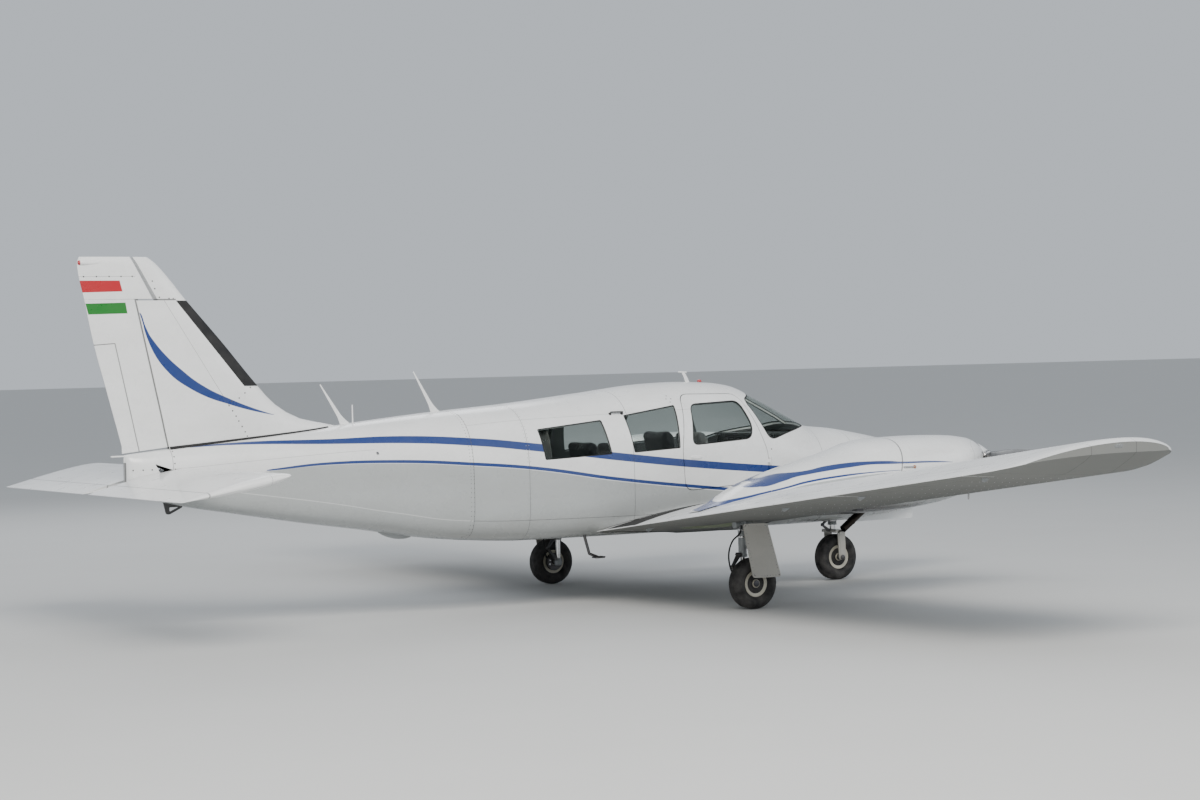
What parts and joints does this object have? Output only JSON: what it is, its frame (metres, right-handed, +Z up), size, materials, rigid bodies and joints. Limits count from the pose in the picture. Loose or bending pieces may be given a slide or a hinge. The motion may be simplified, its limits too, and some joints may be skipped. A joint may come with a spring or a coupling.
{
  "type": "twin-engine light aircraft",
  "caption": "Low-wing light aircraft with two nacelle engines, a hollow cabin with doors, all-moving tailplane and three-leg gear.",
  "frame": {"origin": "on the ground below the middle of the length, on the centreline", "axes": "+X towards the nose, +Y to the left wing, +Z up"},
  "size_m": [8.719, 11.86, 3.04],
  "materials": {
    "white_paint": "glossy white aircraft enamel with blue stripes, slightly weathered",
    "grey_paint": "light grey enamel, satin",
    "rim_paint": "off-white enamel with brake dust",
    "glass": "tinted clear acrylic",
    "cabin_trim": "black grained panel",
    "seat_cover": "charcoal woven cloth",
    "engine_metal": "dull cast metal",
    "exhaust_steel": "heat-stained steel",
    "blade_paint": "matt black painted aluminium",
    "tyre": "black rubber with circumferential grooves"
  },
  "bodies": {
    "airframe": {"cabin": "white_paint", "tailcone": "white_paint", "nose": "white_paint", "front_window_left": "glass", "middle_window_left": "glass", "middle_window_right": "glass", "rear_window_right": "glass", "windscreen_left": "glass", "windscreen_right": "glass", "instrument_panel": "cabin_trim", "pilot_seat": "seat_cover", "copilot_seat": "seat_cover", "middle_seat_left": "seat_cover", "middle_seat_right": "seat_cover", "rear_bench": "seat_cover", "wing_left": "white_paint", "wing_right": "white_paint", "nacelle_left": "white_paint", "nacelle_right": "white_paint", "cowling_left": "white_paint", "cowling_right": "white_paint", "engine_left": "engine_metal", "engine_right": "engine_metal", "exhaust_left": "exhaust_steel", "exhaust_right": "exhaust_steel", "fin": "white_paint", "tail_loop": "exhaust_steel", "main_leg_left": "grey_paint", "main_leg_right": "grey_paint", "gear_door_left": "grey_paint", "gear_door_right": "grey_paint", "nose_leg": "grey_paint", "nose_gear_door_left": "grey_paint", "nose_gear_door_right": "grey_paint", "boarding_step": "exhaust_steel"},
    "crew_door": {"crew_door": "white_paint", "crew_door_window": "glass"},
    "passenger_door": {"passenger_door": "white_paint", "passenger_door_window": "glass"},
    "nose_door": {"nose_door": "white_paint"},
    "flap_left": {"flap_left": "white_paint"},
    "flap_right": {"flap_right": "white_paint"},
    "aileron_left": {"aileron_left": "white_paint"},
    "aileron_right": {"aileron_right": "white_paint"},
    "rudder": {"rudder": "white_paint"},
    "stabilator": {"stabilator": "white_paint"},
    "propeller_left": {"propeller_left": "blade_paint"},
    "propeller_right": {"propeller_right": "blade_paint"},
    "main_wheel_left": {"main_tyre_left": "tyre", "main_rim_left": "rim_paint"},
    "main_wheel_right": {"main_tyre_right": "tyre", "main_rim_right": "rim_paint"},
    "nose_fork": {"nose_fork": "grey_paint"},
    "nose_wheel": {"nose_tyre": "tyre", "nose_rim": "rim_paint"}
  },
  "joints": [
    {"name": "crew_door_hinge", "type": "hinge", "parent": "airframe", "child": "crew_door", "pos_m": [1.82, -0.632, 1.135], "axis": [0, 0, 1], "range_deg": [0, 50]},
    {"name": "passenger_door_hinge", "type": "hinge", "parent": "airframe", "child": "passenger_door", "pos_m": [0.236, 0.635, 1.1], "axis": [0, 0, -1], "range_deg": [0, 80]},
    {"name": "nose_door_hinge", "type": "hinge", "parent": "airframe", "child": "nose_door", "pos_m": [2.862, 0.4715, 1.2832], "axis": [0.9664, -0.2569, 0], "range_deg": [0, 75]},
    {"name": "flap_left_hinge", "type": "hinge", "parent": "airframe", "child": "flap_left", "pos_m": [0.335, 0.62, 0.68425], "axis": [0, -0.9925, -0.1219], "range_deg": [0, 40]},
    {"name": "flap_right_hinge", "type": "hinge", "parent": "airframe", "child": "flap_right", "pos_m": [0.335, -0.62, 0.68425], "axis": [0, -0.9925, 0.1219], "range_deg": [0, 40]},
    {"name": "aileron_left_hinge", "type": "hinge", "parent": "airframe", "child": "aileron_left", "pos_m": [0.335, 0.62, 0.68425], "axis": [0, 0.9925, 0.1219], "range_deg": [-15, 30]},
    {"name": "aileron_right_hinge", "type": "hinge", "parent": "airframe", "child": "aileron_right", "pos_m": [0.335, -0.62, 0.68425], "axis": [0, 0.9925, -0.1219], "range_deg": [-15, 30]},
    {"name": "rudder_hinge", "type": "hinge", "parent": "airframe", "child": "rudder", "pos_m": [-3.65, 0, 1.492], "axis": [-0.2043, 0, 0.9789], "range_deg": [-29, 29]},
    {"name": "stabilator_hinge", "type": "hinge", "parent": "airframe", "child": "stabilator", "pos_m": [-3.7, 0, 1.283], "axis": [0, 1, 0], "range_deg": [0, 24]},
    {"name": "propeller_left_spin", "type": "hinge", "parent": "airframe", "child": "propeller_left", "pos_m": [3.14, 1.85, 1.19], "axis": [1, 0, 0], "continuous": true},
    {"name": "propeller_right_spin", "type": "hinge", "parent": "airframe", "child": "propeller_right", "pos_m": [3.14, -1.85, 1.19], "axis": [1, 0, 0], "continuous": true},
    {"name": "main_wheel_left_spin", "type": "hinge", "parent": "airframe", "child": "main_wheel_left", "pos_m": [0.85, 1.69, 0.215], "axis": [0, 1, 0], "continuous": true},
    {"name": "main_wheel_right_spin", "type": "hinge", "parent": "airframe", "child": "main_wheel_right", "pos_m": [0.85, -1.69, 0.215], "axis": [0, 1, 0], "continuous": true},
    {"name": "nose_steering", "type": "hinge", "parent": "airframe", "child": "nose_fork", "pos_m": [2.96, 0, 0.5], "axis": [0, 0, 1], "range_deg": [-27, 27]},
    {"name": "nose_wheel_spin", "type": "hinge", "parent": "nose_fork", "child": "nose_wheel", "pos_m": [2.99, 0, 0.215], "axis": [0, 1, 0], "continuous": true}
  ]
}
